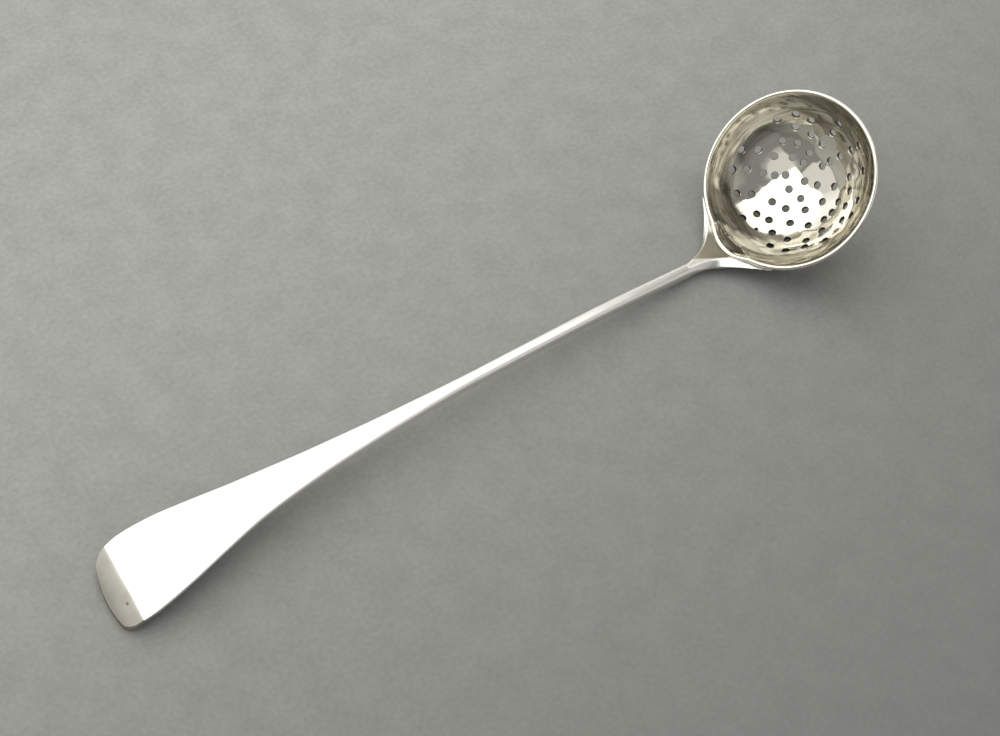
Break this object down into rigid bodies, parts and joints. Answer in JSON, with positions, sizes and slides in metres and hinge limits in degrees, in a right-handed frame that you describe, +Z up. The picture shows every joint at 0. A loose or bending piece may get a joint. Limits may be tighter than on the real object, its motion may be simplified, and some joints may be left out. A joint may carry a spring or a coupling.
{
  "type": "sifter ladle",
  "caption": "Small silver sifter ladle: a round pierced bowl soldered to a shoulder with a heel, and a stem that widens to a flat, turned-down blade.",
  "frame": {"origin": "middle of the ladle's footprint, on the table it lies on", "axes": "+X along the ladle from the blade's end to the bowl, +Z up, +Y across"},
  "size_m": [0.1594, 0.034, 0.0262],
  "materials": {
    "bowl_silver": "polished and lightly tarnished inside",
    "handle_silver": "polished, worn smooth",
    "solder": "dull silver solder"
  },
  "bodies": {
    "root": {"pierced_bowl": "bowl_silver", "shoulder_and_heel": "handle_silver", "stem_and_blade": "handle_silver", "solder_bead": "solder"}
  },
  "joints": []
}
